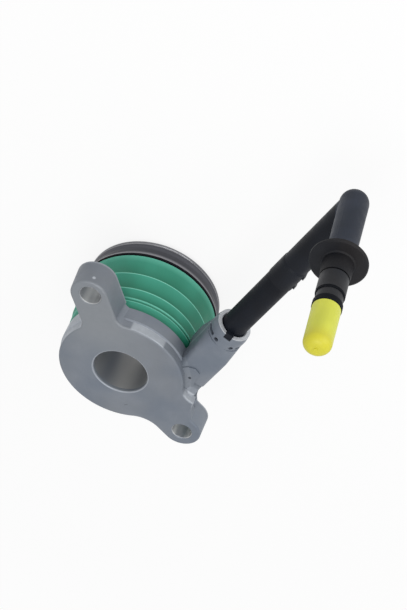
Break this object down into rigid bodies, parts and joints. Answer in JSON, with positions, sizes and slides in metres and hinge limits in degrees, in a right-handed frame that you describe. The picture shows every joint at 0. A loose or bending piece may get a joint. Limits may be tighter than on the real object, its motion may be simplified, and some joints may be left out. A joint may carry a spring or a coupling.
{
  "type": "clutch slave cylinder",
  "caption": "Concentric clutch slave cylinder: eared alloy housing, guide sleeve, bellows boot, release bearing and side inlet pipe with a capped connector.",
  "frame": {"origin": "centre of the guide bore in the mounting face", "axes": "+Z along the guide bore, out of the mounting face and away from the release bearing; +X towards the ear that lies further from the inlet"},
  "size_m": [0.1136, 0.1782, 0.1231],
  "materials": {
    "cast_housing": "die cast, satin",
    "sleeve_steel": "ground bore",
    "spring_steel": "drawn wire",
    "ball_steel": "polished",
    "bearing_steel": "turned and oiled",
    "plated_steel": "pressed sheet",
    "piston_plastic": "glass filled",
    "pipe_plastic": "moulded, satin",
    "connector_plastic": "moulded",
    "black_rubber": "moulded rubber",
    "green_rubber": "moulded bellows",
    "yellow_plastic": "moulded cap",
    "cage_plastic": "moulded cage"
  },
  "bodies": {
    "housing_body": {"housing": "cast_housing", "guide_sleeve": "sleeve_steel", "sleeve_o_ring": "black_rubber", "sleeve_snap_ring": "spring_steel", "cross_drilling_plug": "ball_steel", "preload_spring": "spring_steel", "dust_boot": "green_rubber", "pressure_pipe": "pipe_plastic", "pipe_o_ring": "black_rubber", "pipe_backup_ring": "cage_plastic", "pipe_clip": "spring_steel", "pipe_elbow": "pipe_plastic", "pipe_grommet": "black_rubber", "line_connector": "connector_plastic", "connector_ring": "black_rubber", "dust_ring": "black_rubber", "nose_o_ring": "black_rubber"},
    "piston_body": {"piston": "piston_plastic", "seal_support_ring": "cage_plastic", "piston_seal": "black_rubber", "spring_seat": "plated_steel", "boot_ring": "black_rubber", "bearing_carrier": "plated_steel", "bearing_cover": "bearing_steel", "centring_spring": "spring_steel", "bearing_outer_ring": "bearing_steel", "bearing_rear_seal": "black_rubber", "bearing_front_seal": "black_rubber"},
    "thrust_ring_body": {"bearing_thrust_ring": "bearing_steel"},
    "cage_body": {"ball_cage": "cage_plastic", "bearing_balls": "ball_steel"},
    "cap_body": {"protective_cap": "yellow_plastic"}
  },
  "joints": [
    {"name": "piston_slide", "type": "slide", "parent": "housing_body", "child": "piston_body", "axis": [0, 0, 1], "range_m": [0, 0.01], "stiffness_N_per_m": 2000, "springref_m": -0.03, "deforming": ["dust_boot", "preload_spring"]},
    {"name": "thrust_ring_turn", "type": "hinge", "parent": "piston_body", "child": "thrust_ring_body", "pos_m": [0, 0, -0.0504], "axis": [0, 0, 1], "continuous": true},
    {"name": "cage_turn", "type": "hinge", "parent": "piston_body", "child": "cage_body", "pos_m": [0, 0, -0.0504], "axis": [0, 0, 1], "continuous": true},
    {"name": "cap_pull", "type": "slide", "parent": "housing_body", "child": "cap_body", "axis": [0, 0, 1], "range_m": [0, 0.025]}
  ],
  "couplings": [
    {"joint": "cage_turn", "follows": "thrust_ring_turn", "ratio": 0.4528}
  ]
}
